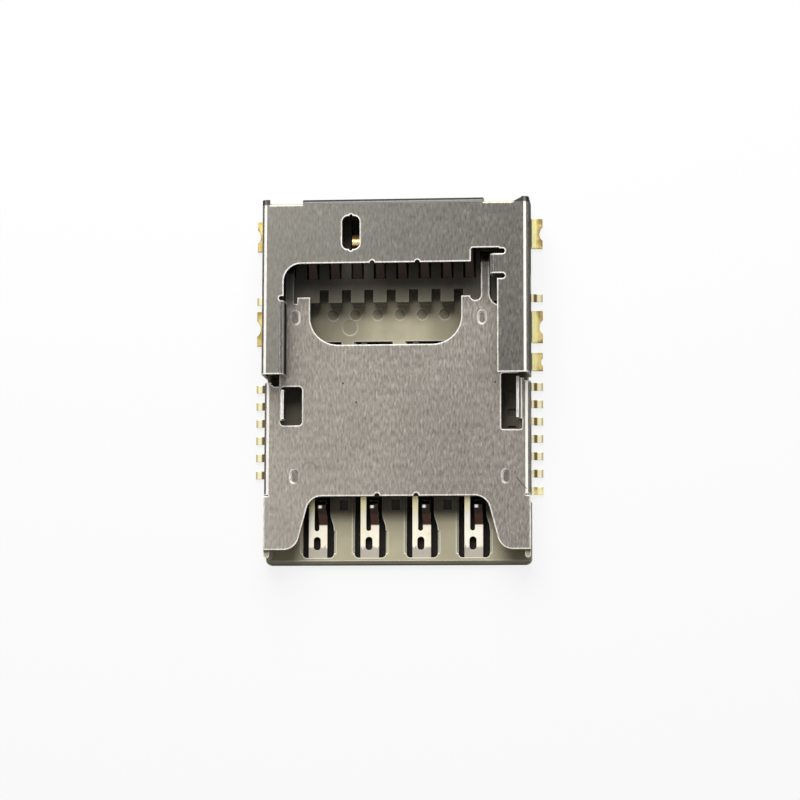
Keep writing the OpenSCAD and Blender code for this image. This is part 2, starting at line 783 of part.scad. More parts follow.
peep = [[card_x(2) - 0.61, rear_y - 2.49], [card_x(2) + 0.25, rear_y - 0.85]];

module cover_window() {
  // Main opening, with a round left corner
  difference() {
    translate([window_left, front_y]) square([rail_right - window_left, window_y - front_y]);
    difference() {
      translate([window_left, window_y - window_r]) square(window_r);
      translate([window_left + window_r, window_y - window_r]) circle(window_r);
    }
  }
  for (x = [-window_nick_x, window_nick_x])
    translate([x, window_y]) circle(window_nick_r);
  // Step and the two reliefs of the key tab
  round_rect([window_step, key_span[0]], [key_root, window_top], step_r);
  for (y = [key_span[1] + key_relief / 2, key_span[0] - key_relief / 2])
    round_slot([key_edge, y], [key_root + key_relief / 2, y], key_relief);
  // Left rail, cut back to the fold of its lip
  translate([card_left - fold_out, front_y]) square([2 * fold_out, lip_rear - front_y]);
  round_slot(
    [card_left - fold_out + lip_end / 2, lip_rear + lip_end / 2],
    [card_left + lip_end, lip_rear + lip_end / 2], lip_end
  );
}

// Hole over the third memory contact, with a tool nick in the middle of each end
module peep_hole() {
  round_rect(peep[0], peep[1], peep_r);
  for (corner = peep)
    translate([(peep[0].x + peep[1].x) / 2, corner.y]) circle(peep_nick_r);
}

// Flat of the top cover: two rails, the roof, and a strip that leads to the rear fold
module cover_outline() {
  difference() {
    translate([-fold_x, rail_front]) square([2 * fold_x, rear_y - rail_front]);
    translate([corner_notch[0], corner_y])
      square([rear_fold[0] - corner_notch[0], rear_y - corner_y + eps]);
    polygon([
      [rear_fold[1], corner_y], [corner_notch[1], corner_y],
      [fold_x, rear_y + eps], [rear_fold[1], rear_y + eps]
    ]);
    translate([rear_fold[0] - eps, rear_y - fold_out])
      square([rear_fold[1] - rear_fold[0] + 2 * eps, fold_out + eps]);
    cover_window();
    peep_hole();
  }
}

module foot(span) {
  path = [[foot_lap, 0], [foot_r, 90], [tail_reach - foot_r, 0]];
  waist = (span[1] - span[0]) * foot_waist;
  difference() {
    translate([wall_in, span[1], foot_r + sheet_t + foot_lap])
      rotate([90, 0, 0]) linear_extrude(span[1] - span[0]) rotate(-90) strip(path, sheet_t);
    translate([half_w + tail_reach + waist * foot_bite, (span[0] + span[1]) / 2, -sheet_t])
      cylinder(h = 3 * sheet_t, r = waist);
  }
}

module card_cover() {
  wall = cover_z - fold_r - cover_wall_z;
  side_path = [[lap, 0], [fold_r, -90], [wall, 0]];
  lip_path = [[lap, 0], [fold_r, -90], [card_gap - fold_r - lip_gap, 0]];
  key_path = [[key_root - key_edge - fold_out + key_lap, 0], [fold_r, -90], [key_drop, 0]];
  color([0.66, 0.65, 0.62]) {
    translate([0, 0, cover_z]) linear_extrude(sheet_t) cover_outline();
    difference() {
      for (side = [0, 1])
        mirror([side, 0, 0]) strip_along_x(side_path, sheet_t, rail_front, rear_y, fold_x - lap, cover_z);
      for (y = cover_latches)
        latch_window(y);
    }
    strip_along_x(lip_path, sheet_t, rail_front, lip_rear, card_left - fold_out - lap, cover_z);
    mirror([1, 0, 0])
      strip_along_x(key_path, sheet_t, key_span[0], key_span[1], -key_root - key_lap, cover_z);
    strip_along_y(side_path, sheet_t, rear_fold[0], rear_fold[1], rear_y - fold_out - lap, cover_z);
    for (span = feet_right)
      foot(span);
    for (span = feet_left)
      mirror([1, 0, 0]) foot(span);
  }
}

module sim_contact(number) {
  color([0.9, 0.83, 0.6]) sim_contact_solid(number);
}

module card_contact(number) {
  color([0.85, 0.72, 0.42]) card_contact_solid(number);
}

module detect_spring() {
  color([0.85, 0.72, 0.42]) detect_solid();
}

base_moulding();
sim_cover();
card_cover();
for (number = [1 : 8]) {
  sim_contact(number);
  card_contact(number);
}
detect_spring();
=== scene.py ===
import math

import bpy
from mathutils import Matrix, Vector

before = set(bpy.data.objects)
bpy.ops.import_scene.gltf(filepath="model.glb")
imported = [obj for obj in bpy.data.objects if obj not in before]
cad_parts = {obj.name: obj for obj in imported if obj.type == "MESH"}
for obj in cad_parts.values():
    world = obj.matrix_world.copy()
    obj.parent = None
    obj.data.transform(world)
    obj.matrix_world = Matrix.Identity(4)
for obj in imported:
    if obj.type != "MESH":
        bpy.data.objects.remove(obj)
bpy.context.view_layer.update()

# Moulded base: one shot of glass-filled beige plastic, moulded round the contact strips.
# Floor, guides, rear block and latch wedges are one piece, with the slight edge radius
# that a moulding tool leaves and a fine mottle of fibre at the surface.
MM = 0.001


def new_material(name):
    """A node material with its tree and its Principled shader."""
    material = bpy.data.materials.new(name)
    material.use_nodes = True
    return material, material.node_tree, material.node_tree.nodes["Principled BSDF"]


def finish_node(node_name, material):
    """Gives one material to a CAD node, whose shape stays as it is."""
    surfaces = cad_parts[node_name].data.materials
    surfaces.clear()
    surfaces.append(material)


def add_node(tree, kind, values=(), **settings):
    """A node of that kind with its settings, and input values by the socket's name or number."""
    node = tree.nodes.new(kind)
    for name, value in settings.items():
        setattr(node, name, value)
    for socket, value in dict(values).items():
        node.inputs[socket].default_value = value
    return node


def spread(tree, value, from_low, from_high, to_low=0, to_high=1):
    """A value spread from one range to another, and held inside it."""
    node = add_node(
        tree, "ShaderNodeMapRange",
        {"From Min": from_low, "From Max": from_high, "To Min": to_low, "To Max": to_high},
    )
    tree.links.new(value, node.inputs[0])
    return node.outputs[0]


def mix_colours(tree, factor, first, second):
    """A colour mix; each colour is a socket or a colour of three numbers."""
    mix = add_node(tree, "ShaderNodeMix", data_type="RGBA")
    tree.links.new(factor, mix.inputs[0])
    for socket, colour in ((mix.inputs[6], first), (mix.inputs[7], second)):
        if isinstance(colour, bpy.types.NodeSocket):
            tree.links.new(colour, socket)
        else:
            socket.default_value = (*colour, 1)
    return mix.outputs[2]


def multiply(tree, product, *factors):
    """The product of a value and others; each of those is a socket or a number."""
    for factor in factors:
        node = add_node(tree, "ShaderNodeMath", operation="MULTIPLY", use_clamp=True)
        tree.links.new(product, node.inputs[0])
        if isinstance(factor, bpy.types.NodeSocket):
            tree.links.new(factor, node.inputs[1])
        else:
            node.inputs[1].default_value = factor
        product = node.outputs[0]
    return product


def lay(tree, tone, *layers):
    """A tone with colours laid over it in turn; each layer is a colour, then its masks."""
    for colour, *masks in layers:
        tone = mix_colours(tree, multiply(tree, *masks), tone, colour)
    return tone


def shared_group(name, inputs, outputs):
    """An empty shader node group with number inputs and outputs of the given kinds."""
    group = bpy.data.node_groups.new(name, "ShaderNodeTree")
    for title in inputs:
        group.interface.new_socket(title, in_out="INPUT", socket_type="NodeSocketFloat")
    for title, kind in outputs.items():
        group.interface.new_socket(title, in_out="OUTPUT", socket_type=kind)
    return group, group.nodes.new("NodeGroupInput"), group.nodes.new("NodeGroupOutput")


def grain_group():
    """Streaks and flecks along Y, as rolling and drawing leave them, and a broad mottle."""
    number = "NodeSocketFloat"
    titles = {"Streak": number, "Flecks": number, "Mottle": number}
    group, start, end = shared_group("surface_grain", ("Across", "Along"), titles)
    place = add_node(group, "ShaderNodeTexCoord")
    stretch = add_node(group, "ShaderNodeCombineXYZ")
    for source, axis in (("Across", "X"), ("Along", "Y"), ("Across", "Z")):
        group.links.new(start.outputs[source], stretch.inputs[axis])
    scaled = add_node(group, "ShaderNodeVectorMath", operation="MULTIPLY")
    group.links.new(place.outputs["Object"], scaled.inputs[0])
    group.links.new(stretch.outputs[0], scaled.inputs[1])
    streak = add_node(group, "ShaderNodeTexNoise", {"Scale": 1, "Detail": 4, "Roughness": 0.6})
    group.links.new(scaled.outputs[0], streak.inputs["Vector"])
    fleck = add_node(group, "ShaderNodeTexNoise", {"Scale": 0.8, "Detail": 1})
    group.links.new(scaled.outputs[0], fleck.inputs["Vector"])
    mottle = add_node(group, "ShaderNodeTexNoise", {"Scale": 420, "Detail": 3, "Roughness": 0.55})
    group.links.new(place.outputs["Object"], mottle.inputs["Vector"])
    group.links.new(spread(group, streak.outputs[0], 0.25, 0.75), end.inputs["Streak"])
    group.links.new(spread(group, fleck.outputs[0], 0.6, 0.75), end.inputs["Flecks"])
    group.links.new(spread(group, mottle.outputs[0], 0.3, 0.7), end.inputs["Mottle"])
    return group


def edge_group():
    """A mask of what lies within a radius of a sharp edge, for painted edge highlights, and a normal
    that rounds that edge.
    """
    titles = {"Edge": "NodeSocketFloat", "Normal": "NodeSocketVector"}
    group, start, end = shared_group("edge_highlight_and_round", ("Rim", "Round"), titles)
    face = add_node(group, "ShaderNodeNewGeometry")
    near = add_node(group, "ShaderNodeBevel", samples=8)
    group.links.new(start.outputs["Rim"], near.inputs["Radius"])
    turn = add_node(group, "ShaderNodeVectorMath", operation="DOT_PRODUCT")
    group.links.new(near.outputs[0], turn.inputs[0])
    group.links.new(face.outputs["Normal"], turn.inputs[1])
    group.links.new(spread(group, turn.outputs["Value"], 0.9995, 0.98), end.inputs["Edge"])
    rounded = add_node(group, "ShaderNodeBevel", samples=6)
    group.links.new(start.outputs["Round"], rounded.inputs["Radius"])
    group.links.new(rounded.outputs[0], end.inputs["Normal"])
    return group


surface_grain = grain_group()
edge_highlight_and_round = edge_group()


def place_group(tree, group, values):
    """A node of a shared group with its input values."""
    return add_node(tree, "ShaderNodeGroup", values, node_tree=group)


def add_bump(tree, height, distance, strength, normal, shader):
    """A bump on top of a rounded normal, joined to the shader."""
    bump = add_node(tree, "ShaderNodeBump", {"Distance": distance, "Strength": strength})
    tree.links.new(height, bump.inputs["Height"])
    tree.links.new(normal, bump.inputs["Normal"])
    tree.links.new(bump.outputs[0], shader.inputs["Normal"])


def place_parts(tree):
    """The parts of the object's own coordinates: across, along and up."""
    place = add_node(tree, "ShaderNodeTexCoord")
    parts = add_node(tree, "ShaderNodeSeparateXYZ")
    tree.links.new(place.outputs["Object"], parts.inputs[0])
    return parts.outputs["X"], parts.outputs["Y"], parts.outputs["Z"]


def beyond(tree, across, low, high):
    """A mask that rises with the distance from the middle of the socket, on both sides."""
    size = add_node(tree, "ShaderNodeMath", operation="ABSOLUTE")
    tree.links.new(across, size.inputs[0])
    return spread(tree, size.outputs[0], low, high)


plastic_pale = (0.60, 0.54, 0.37)
plastic_deep = (0.46, 0.42, 0.29)
plastic_shade = (0.06, 0.054, 0.042)
plastic_highlight = (1, 0.97, 0.84)
plastic_lit_patch = (0.95, 0.88, 0.62)
fibre_scale = 2600
fibre_depth = 0.01 * MM
plastic_edges = {"Rim": 0.08 * MM, "Round": 0.03 * MM}
# Each range says from where to where a mask changes, and its two shares if not 0 and 1.
front_edge_highlight = (-4.5 * MM, -3 * MM, 1, 0.2)
window_front = (1.7 * MM, 2 * MM)
window_edge_highlight = (2.4 * MM, 2.7 * MM, 1, 0.5)
inside_sides = (6.3 * MM, 6.2 * MM)
inside_rear = (8.6 * MM, 8.4 * MM)
inside_floor = (0.02 * MM, 0.06 * MM)
rear_shade = (3.2 * MM, 4.9 * MM, 0, 0.88)
block_shade_front = (2.5 * MM, 4 * MM)
block_shade_level = (0.4 * MM, 0.5 * MM, 0, 0.5)
covered_shade_front = (-6.8 * MM, -6.2 * MM)
covered_shade_rear = (2 * MM, 1.4 * MM, 0, 0.8)
corner_shade_sides = (1.2 * MM, 3.6 * MM)
corner_shade_front = (1 * MM, 2 * MM, 0, 0.55)
pin_shade_front = (2 * MM, 2.5 * MM)
pin_shade_level = (0.32 * MM, 0.29 * MM, 0, 0.25)
lit_patch_sides = (1.8 * MM, 0.4 * MM)
lit_patch_rear = (3.6 * MM, 2.9 * MM, 0, 0.5)
recess_shade_level = (0.24 * MM, 0.2 * MM, 0, 0.9)
moulding_plastic, tree, shader = new_material("moulding_plastic")
fibre = place_group(tree, surface_grain, {"Across": fibre_scale, "Along": fibre_scale})
edge = place_group(tree, edge_highlight_and_round, plastic_edges)
across, along, up = place_parts(tree)
rim = edge.outputs["Edge"]
in_window = spread(tree, along, *window_front)
inside = multiply(
    tree, beyond(tree, across, *inside_sides),
    spread(tree, along, *inside_rear), spread(tree, up, *inside_floor),
)
tone = lay(
    tree, mix_colours(tree, fibre.outputs["Mottle"], plastic_deep, plastic_pale),
    # Painted highlight along sharp edges, full at the front and partly in the window
    (plastic_highlight, rim, spread(tree, along, *front_edge_highlight)),
    (plastic_highlight, rim, in_window, spread(tree, along, *window_edge_highlight)),
    # Painted shade inside the moulding: on the rear floor, the block foot, the floor under the plate,
    # the window's sides, the pin marks
    (plastic_shade, inside, spread(tree, along, *rear_shade)),
    (plastic_shade, inside, spread(tree, up, *block_shade_level), spread(tree, along, *block_shade_front)),
    (plastic_shade, inside, spread(tree, along, *covered_shade_front), spread(tree, along, *covered_shade_rear)),
    (plastic_shade, inside, beyond(tree, across, *corner_shade_sides), spread(tree, along, *corner_shade_front)),
    (plastic_shade, inside, spread(tree, up, *pin_shade_level), spread(tree, along, *pin_shade_front)),
    # Painted pool of light in the middle of the window floor, broken by the mottle
    (
        plastic_lit_patch, inside, in_window, beyond(tree, across, *lit_patch_sides),
        spread(tree, along, *lit_patch_rear), fibre.outputs["Mottle"],
    ),
    # Painted shade in the recesses of the floor
    (plastic_shade, inside, spread(tree, up, *recess_shade_level)),
)
tree.links.new(tone, shader.inputs["Base Color"])
tree.links.new(spread(tree, fibre.outputs["Streak"], 0, 1, 0.5, 0.7), shader.inputs["Roughness"])
add_bump(tree, fibre.outputs["Streak"], fibre_depth, 0.5, edge.outputs["Normal"], shader)
shader.inputs["Specular IOR Level"].default_value = 0.25
finish_node("base_moulding", moulding_plastic)

# Spring contacts: thin copper-alloy strip, blanked, bent and plated pale gold, then held in
# the moulding by their leads. Eight serve the lower card, eight the upper one, and one leaf
# beside the upper card is the switch that feels it.
plating_pale = (0.97, 0.94, 0.85)
plating_deep = (0.88, 0.80, 0.60)
shaded_gold_pale = (0.70, 0.50, 0.22)
shaded_gold_deep = (0.35, 0.22, 0.08)
bronze_slope_shade = (0.055, 0.024, 0.017)
bronze_shade = (0.022, 0.013, 0.010)
root_grey = (0.41, 0.37, 0.31)
lemon_gold = (0.93, 0.86, 0.42)
tail_pale = (0.88, 0.80, 0.50)
tail_shade = (0.14, 0.10, 0.05)
drawn_lines = {"Across": 9000, "Along": 2500}
strip_edges = {"Rim": 0.03 * MM, "Round": 0.02 * MM}
line_depth = 0.003 * MM
rising_slope = (-0.3, -0.45)
shade_fade = 0.1 * MM
lower_shade_levels = (0.6 * MM, 3 * MM)
upper_shade_levels = (0.2 * MM, 1.6 * MM)
tail_sides = (6.5 * MM, 6.51 * MM)
bend_inner = (6.58 * MM, 6.64 * MM)
bend_outer = (6.8 * MM, 6.74 * MM)
tip_sides = (6.92 * MM, 7.02 * MM)
tip_share = 0.6
root_ragged = 0.25 * MM
root_line = (-7.8 * MM, -7.9 * MM, 0, 0.9)
leg_front = (-6.4 * MM, -6 * MM, 0, 0.7)
leg_rear = (-5 * MM, -5.3 * MM)
leg_level = (0.3 * MM, 0.25 * MM)
slit_shade_front = (1.5 * MM, 1.6 * MM, 0, 0.9)
slit_shade_sides = (6.2 * MM, 6.1 * MM)
row_pitch = 2.54 * MM
row_middle = 1.135 * MM
glint_left = (0.05 * MM, 0.14 * MM)
glint_right = (0.28 * MM, 0.18 * MM)
glint_level = (0.826 * MM, 0.837 * MM)


def face_tilt(tree):
    """The parts of a face's normal: across, along and up."""
    facing = add_node(tree, "ShaderNodeNewGeometry")
    parts = add_node(tree, "ShaderNodeSeparateXYZ")
    tree.links.new(facing.outputs["Normal"], parts.inputs[0])
    return parts.outputs["X"], parts.outputs["Y"], parts.outputs["Z"]


def contact_plating(name, pale, deep, bronze, shade_levels):
    """Gold plating with fine drawing lines, painted shade in dark bronze on rising slopes and between
    two heights, and painted shade at the tails' bend and tip.
    """
    material, tree, shader = new_material(name)
    lines = place_group(tree, surface_grain, drawn_lines)
    edge = place_group(tree, edge_highlight_and_round, strip_edges)
    across, _, up = place_parts(tree)
    low, high = shade_levels
    tail = lay(
        tree, tail_pale,
        # Painted shade on the tails: a dark band at the bend and a darker tip
        (tail_shade, beyond(tree, across, *bend_inner), beyond(tree, across, *bend_outer)),
        (tail_shade, beyond(tree, across, *tip_sides), tip_share),
    )
    tone = lay(
        tree, mix_colours(tree, lines.outputs["Mottle"], deep, pale),
        # Painted shade in dark bronze on rising slopes, and between two heights where the strip lies
        # under the sheet above
        (bronze, spread(tree, face_tilt(tree)[1], *rising_slope)),
        (bronze_shade, spread(tree, up, low, low + shade_fade), spread(tree, up, high, high - shade_fade)),
        (tail, beyond(tree, across, *tail_sides)),
    )
    tree.links.new(spread(tree, lines.outputs["Streak"], 0, 1, 0.25, 0.45), shader.inputs["Roughness"])
    add_bump(tree, lines.outputs["Streak"], line_depth, 0.4, edge.outputs["Normal"], shader)
    shader.inputs["Metallic"].default_value = 0.8
    return material, tree, shader, tone, lines


lower_plating, tree, shader, tone, lines = contact_plating(
    "lower_plating", plating_pale, plating_deep, bronze_slope_shade, lower_shade_levels
)
across, along, up = place_parts(tree)
ragged = add_node(tree, "ShaderNodeMath", {1: root_ragged}, operation="MULTIPLY_ADD")
tree.links.new(lines.outputs["Streak"], ragged.inputs[0])
tree.links.new(along, ragged.inputs[2])
from_middle = add_node(tree, "ShaderNodeMath", {1: row_middle}, operation="SUBTRACT")
tree.links.new(across, from_middle.inputs[0])
beside = add_node(tree, "ShaderNodeMath", {1: row_pitch / 2, 2: -row_pitch / 2}, operation="WRAP")
tree.links.new(from_middle.outputs[0], beside.inputs[0])
tone = lay(
    tree, tone,
    (root_grey, spread(tree, ragged.outputs[0], *root_line)),
    (
        lemon_gold, spread(tree, along, *leg_front), spread(tree, along, *leg_rear),
        spread(tree, up, *leg_level),
    ),
    # Painted shade on the leg ends that lie in the window slits
    (bronze_shade, spread(tree, along, *slit_shade_front), beyond(tree, across, *slit_shade_sides)),
    # Painted glint: a pale spot on the left part of each crest
    (
        plating_pale, spread(tree, beside.outputs[0], *glint_left),
        spread(tree, beside.outputs[0], *glint_right), spread(tree, up, *glint_level),
    ),
)
tree.links.new(tone, shader.inputs["Base Color"])
# The upper contacts get a darker copy of the gold plating, painted shade for the cover's shade over
# them
upper_shaded_plating, tree, shader, tone, _ = contact_plating(
    "upper_shaded_plating", shaded_gold_pale, shaded_gold_deep, bronze_shade, upper_shade_levels
)
tree.links.new(tone, shader.inputs["Base Color"])
for number in range(1, 9):
    finish_node(f"sim_contact_{number}", lower_plating)
    finish_node(f"card_contact_{number}", upper_shaded_plating)
finish_node("detect_spring", lower_plating)

# Middle plate: spring-steel sheet, stamped and folded, which roofs the lower slot and carries
# the memory card. Its sides snap over wedges on the moulding, and two tongues hook the block.
# Its face is finely grained along the card's way, with a few specks, a scratch and a faint arc.
steel_grey = (0.12, 0.106, 0.09)
steel_light = (0.36, 0.33, 0.295)
steel_shade = (0.05, 0.047, 0.04)
steel_sheen = (0.47, 0.435, 0.38)
flank_tint = (0.25, 0.24, 0.22)
fleck_white = (0.62, 0.60, 0.56)
highlight_white = (0.93, 0.90, 0.83)
mark_and_shade_black = (0.03, 0.03, 0.03)
fold_glow = (0.42, 0.36, 0.31)
rolled_grain = {"Across": 11000, "Along": 3000}
grain_depth = 0.006 * MM
sheet_edges = {"Rim": 0.125 * MM, "Round": 0.03 * MM}
mottle_share = 0.35
plate_flecks = 0.22
# Ranges of a face's tilt, from level at 1 to upright at 0, that tell the lines of a fold for its
# painted highlight, shade and glow
crown_tilt = ((0.999, 0.99), (0.82, 0.88, 0, 0.9))
flank_tilt = ((0.88, 0.82), (0.02, 0.1, 0, 0.85))
glow_tilt = ((0.7, 0.62), (0.02, 0.08))
face_level = (0.98, 0.995)
inner_share = 0.92
plate_face = 1.36 * MM
rear_plate_shade = (3.7 * MM, 4.6 * MM, 0, 0.6)
sheen_side = (3 * MM, -6 * MM)
sheen_front = (4 * MM, -8 * MM, 0, 0.32)
tongue_side = (-4.9 * MM, -4.96 * MM)
tongue_front = (3.6 * MM, 4.1 * MM)
mark_and_shade_share = 0.85
specks = ((-2.62 * MM, -0.05 * MM), (-1.98 * MM, -0.99 * MM), (4.79 * MM, -0.06 * MM))
speck_r = 0.07 * MM
scratch = ((5.80 * MM, -4.69 * MM), (6.33 * MM, -5.28 * MM), 0.03 * MM)
arc_x, arc_y = -4.27 * MM, -4.25 * MM
arc_r, arc_inner_r = 0.42 * MM, 0.357 * MM
arc_front = (arc_y - 0.1 * MM, arc_y + 0.1 * MM, 0.15, 1)
# Place of each emboss, and how much of the painted rim highlight is taken off near it on the left and
# on the right
embosses = (
    (-4.97 * MM, 3.2 * MM, 0.9, 0), (4.16 * MM, 3.13 * MM, 0, 0.3),
    (-5 * MM, -4.6 * MM, 0, 0.9), (5.31 * MM, -4.64 * MM, 0.2, 0.8),
)
emboss_reach = 0.9 * MM
emboss_fade = 0.08 * MM
emboss_shade_level = (plate_face - 0.01 * MM, plate_face - 0.04 * MM, 0, 0.45)


def speck_mask(tree, centre, radius):
    """A soft round mark on the sheet, at a place seen from above."""
    across, along, _ = place_parts(tree)
    level = add_node(tree, "ShaderNodeCombineXYZ")
    tree.links.new(across, level.inputs["X"])
    tree.links.new(along, level.inputs["Y"])
    reach = add_node(tree, "ShaderNodeVectorMath", {1: (*centre, 0)}, operation="DISTANCE")
    tree.links.new(level.outputs[0], reach.inputs[0])
    return spread(tree, reach.outputs["Value"], radius, 0.4 * radius)


def line_mask(tree, start, end, width):
    """A thin straight mark from one place to another, seen from above."""
    way = Vector((end[0] - start[0], end[1] - start[1], 0))
    length = way.length
    way.normalize()
    place = add_node(tree, "ShaderNodeTexCoord")
    offset = add_node(tree, "ShaderNodeVectorMath", {1: (*start, 0)}, operation="SUBTRACT")
    tree.links.new(place.outputs["Object"], offset.inputs[0])
    reach = add_node(tree, "ShaderNodeVectorMath", {1: way}, operation="DOT_PRODUCT")
    aside = add_node(tree, "ShaderNodeVectorMath", {1: (-way.y, way.x, 0)}, operation="DOT_PRODUCT")
    distance = add_node(tree, "ShaderNodeMath", operation="ABSOLUTE")
    tree.links.new(offset.outputs[0], reach.inputs[0])
    tree.links.new(offset.outputs[0], aside.inputs[0])
    tree.links.new(aside.outputs["Value"], distance.inputs[0])
    return multiply(
        tree, spread(tree, reach.outputs["Value"], 0, width),
        spread(tree, reach.outputs["Value"], length, length - width),
        spread(tree, distance.outputs[0], width, 0.3 * width),
    )


def between(tree, value, ranges):
    """A mask that rises over one range and falls over another."""
    rise, fall = ranges
    return multiply(tree, spread(tree, value, *rise), spread(tree, value, *fall))


def sheet_steel(name, grey, light, fleck_share):
    """Rolled steel sheet: fine grain along Y, pale flecks, folds with a painted highlight and painted
    shade, and a mask for painted edge highlights.
    """
    material, tree, shader = new_material(name)
    grain = place_group(tree, surface_grain, rolled_grain)
    edge = place_group(tree, edge_highlight_and_round, sheet_edges)
    across, _, _ = place_parts(tree)
    sideways, _, level = face_tilt(tree)
    outward = add_node(tree, "ShaderNodeMath", operation="MULTIPLY")
    tree.links.new(spread(tree, across, -1 * MM, 1 * MM, -1, 1), outward.inputs[0])
    tree.links.new(sideways, outward.inputs[1])
    outer = spread(tree, outward.outputs[0], -0.05, 0.05)
    inner = spread(tree, outward.outputs[0], -0.05, -0.1)
    tone = lay(
        tree, mix_colours(tree, grain.outputs["Streak"], grey, light),
        (grey, grain.outputs["Mottle"], mottle_share),
        (fleck_white, grain.outputs["Flecks"], fleck_share),
        # Painted light on the folds: a painted highlight on the outer crown, painted shade on the outer
        # flank and the inner side, and a painted glow line
        (highlight_white, outer, between(tree, level, crown_tilt)),
        (mark_and_shade_black, outer, between(tree, level, flank_tilt)),
        (mark_and_shade_black, inner, inner_share),
        (fold_glow, inner, between(tree, level, glow_tilt)),
    )
    # Mask of the painted highlight along the cut edges
    rim = multiply(
        tree, edge.outputs["Edge"], spread(tree, grain.outputs["Streak"], 0.2, 0.8, 0.6, 1)
    )
    tree.links.new(spread(tree, grain.outputs["Streak"], 0, 1, 0.4, 0.6), shader.inputs["Roughness"])
    tree.links.new(spread(tree, edge.outputs["Edge"], 0, 1, 0.9, 0.5), shader.inputs["Metallic"])
    add_bump(tree, grain.outputs["Streak"], grain_depth, 0.5, edge.outputs["Normal"], shader)
    shader.inputs["Specular Tint"].default_value = (*flank_tint, 1)
    return material, tree, shader, tone, rim, level


plate_steel, tree, shader, tone, rim, level = sheet_steel(
    "plate_steel", steel_grey, steel_light, plate_flecks
)
across, along, up = place_parts(tree)
tongue = multiply(tree, spread(tree, across, *tongue_side), spread(tree, along, *tongue_front))
arc_middle = speck_mask(tree, (arc_x, arc_y), arc_inner_r)
tone = lay(
    tree, tone,
    *((mark_and_shade_black, speck_mask(tree, centre, speck_r)) for centre in specks),
    # Painted shade at the rear under the cover, and a painted sheen on level faces, lighter towards the
    # front left
    (steel_shade, spread(tree, along, *rear_plate_shade)),
    (
        steel_sheen, spread(tree, across, *sheen_side), spread(tree, along, *sheen_front),
        spread(tree, level, *face_level),
    ),
    # Painted shade on the left tongue
    (steel_shade, tongue, mark_and_shade_share),
    (mark_and_shade_black, line_mask(tree, *scratch), mark_and_shade_share),
    (
        mark_and_shade_black, speck_mask(tree, (arc_x, arc_y), arc_r), spread(tree, arc_middle, 0, 0.4, 1, 0),
        spread(tree, along, *arc_front),
    ),
)
# The painted edge highlight is taken off the shaded tongue and off one side of each emboss
rim = multiply(tree, rim, spread(tree, tongue, 0, 1, 1, 0.15))
for x, y, highlight_off_left, highlight_off_right in embosses:
    near = speck_mask(tree, (x, y), emboss_reach)
    highlight_off = spread(tree, across, x - emboss_fade, x + emboss_fade, highlight_off_left, highlight_off_right)
    rim = multiply(tree, rim, spread(tree, multiply(tree, near, highlight_off), 0, 1, 1, 0))
    # Painted shade in the emboss hollow
    tone = lay(tree, tone, (steel_shade, near, spread(tree, up, *emboss_shade_level)))
# Painted highlight along the cut edges
tree.links.new(mix_colours(tree, rim, tone, highlight_white), shader.inputs["Base Color"])
finish_node("sim_cover", plate_steel)

# Top cover: the same sheet, folded down on three sides with solder feet, which roofs the
# memory card, guides it between two rails and holds it down at the key tab. The feet are
# plated with gold for soldering.
cover_grey = (0.06, 0.057, 0.05)
cover_light = (0.175, 0.167, 0.15)
cover_sheen = (0.34, 0.32, 0.28)
foot_gold = (0.84, 0.68, 0.28)
foot_deep = (0.45, 0.34, 0.11)
foot_lemon = (0.97, 0.92, 0.45)
foot_brown = (0.22, 0.13, 0.04)
cover_flecks = 0.08
gilding_scale = 1300
lemon_sides = (6.84 * MM, 6.7 * MM)
lemon_share = 0.8
patch_streaks = (0.6, 0.3)
patch_sides = (6.7 * MM, 6.9 * MM)
patch_share = 0.7
sheen_run = (5 * MM, -7 * MM, 0, 0.3)
rear_fold_start = (8.56 * MM, 8.62 * MM)
fold_upright = (0.02, 0.1)
foot_sides = (6.5 * MM, 6.6 * MM)
foot_level = (0.6 * MM, 0.4 * MM)
cover_steel, tree, shader, tone, rim, level = sheet_steel(
    "cover_steel", cover_grey, cover_light, cover_flecks
)
across, along, up = place_parts(tree)
rear_fold = multiply(
    tree, spread(tree, along, *rear_fold_start), spread(tree, level, *fold_upright)
)
gilding = place_group(tree, surface_grain, {"Across": gilding_scale, "Along": gilding_scale})
patches = spread(tree, gilding.outputs["Streak"], *patch_streaks)
gold = lay(
    tree, mix_colours(tree, gilding.outputs["Streak"], foot_deep, foot_gold),
    (foot_lemon, beyond(tree, across, *lemon_sides), lemon_share),
    (foot_brown, patches, beyond(tree, across, *patch_sides), patch_share),
)
tone = lay(
    tree, tone,
    # Painted sheen on level faces, lighter towards the left; on the rear fold, painted shade in place
    # of its edge highlight
    (cover_sheen, spread(tree, across, *sheen_run), spread(tree, level, *face_level)),
    (highlight_white, rim, spread(tree, rear_fold, 0, 1, 1, 0.1)),
    (mark_and_shade_black, rear_fold, mark_and_shade_share),
    (gold, beyond(tree, across, *foot_sides), spread(tree, up, *foot_level)),
)
tree.links.new(tone, shader.inputs["Base Color"])
finish_node("card_cover", cover_steel)

# Stage: a plain white floor that keeps a faint shadow, and a dark card under the socket, as
# what shows through its floor openings in the photograph. Both are clear from below, and
# let the room's light through to the underside.
floor_size = (0.6, 0.6)
floor_z = -0.01 * MM
floor_white = (0.9, 0.9, 0.9)
floor_share = 0.85
card_size = (12.4 * MM, 17.3 * MM)
card_z = -0.004 * MM
card_shade = (0.03, 0.028, 0.025)


def either(tree, mask, *ray_kinds):
    """A mask widened to rays of some kinds, such as those that look or light a matte face."""
    path = add_node(tree, "ShaderNodeLightPath")
    for kind in ray_kinds:
        larger = add_node(tree, "ShaderNodeMath", {1: 0}, operation="MAXIMUM")
        tree.links.new(path.outputs[kind], larger.inputs[0])
        if mask:
            tree.links.new(mask, larger.inputs[1])
        mask = larger.outputs[0]
    return mask


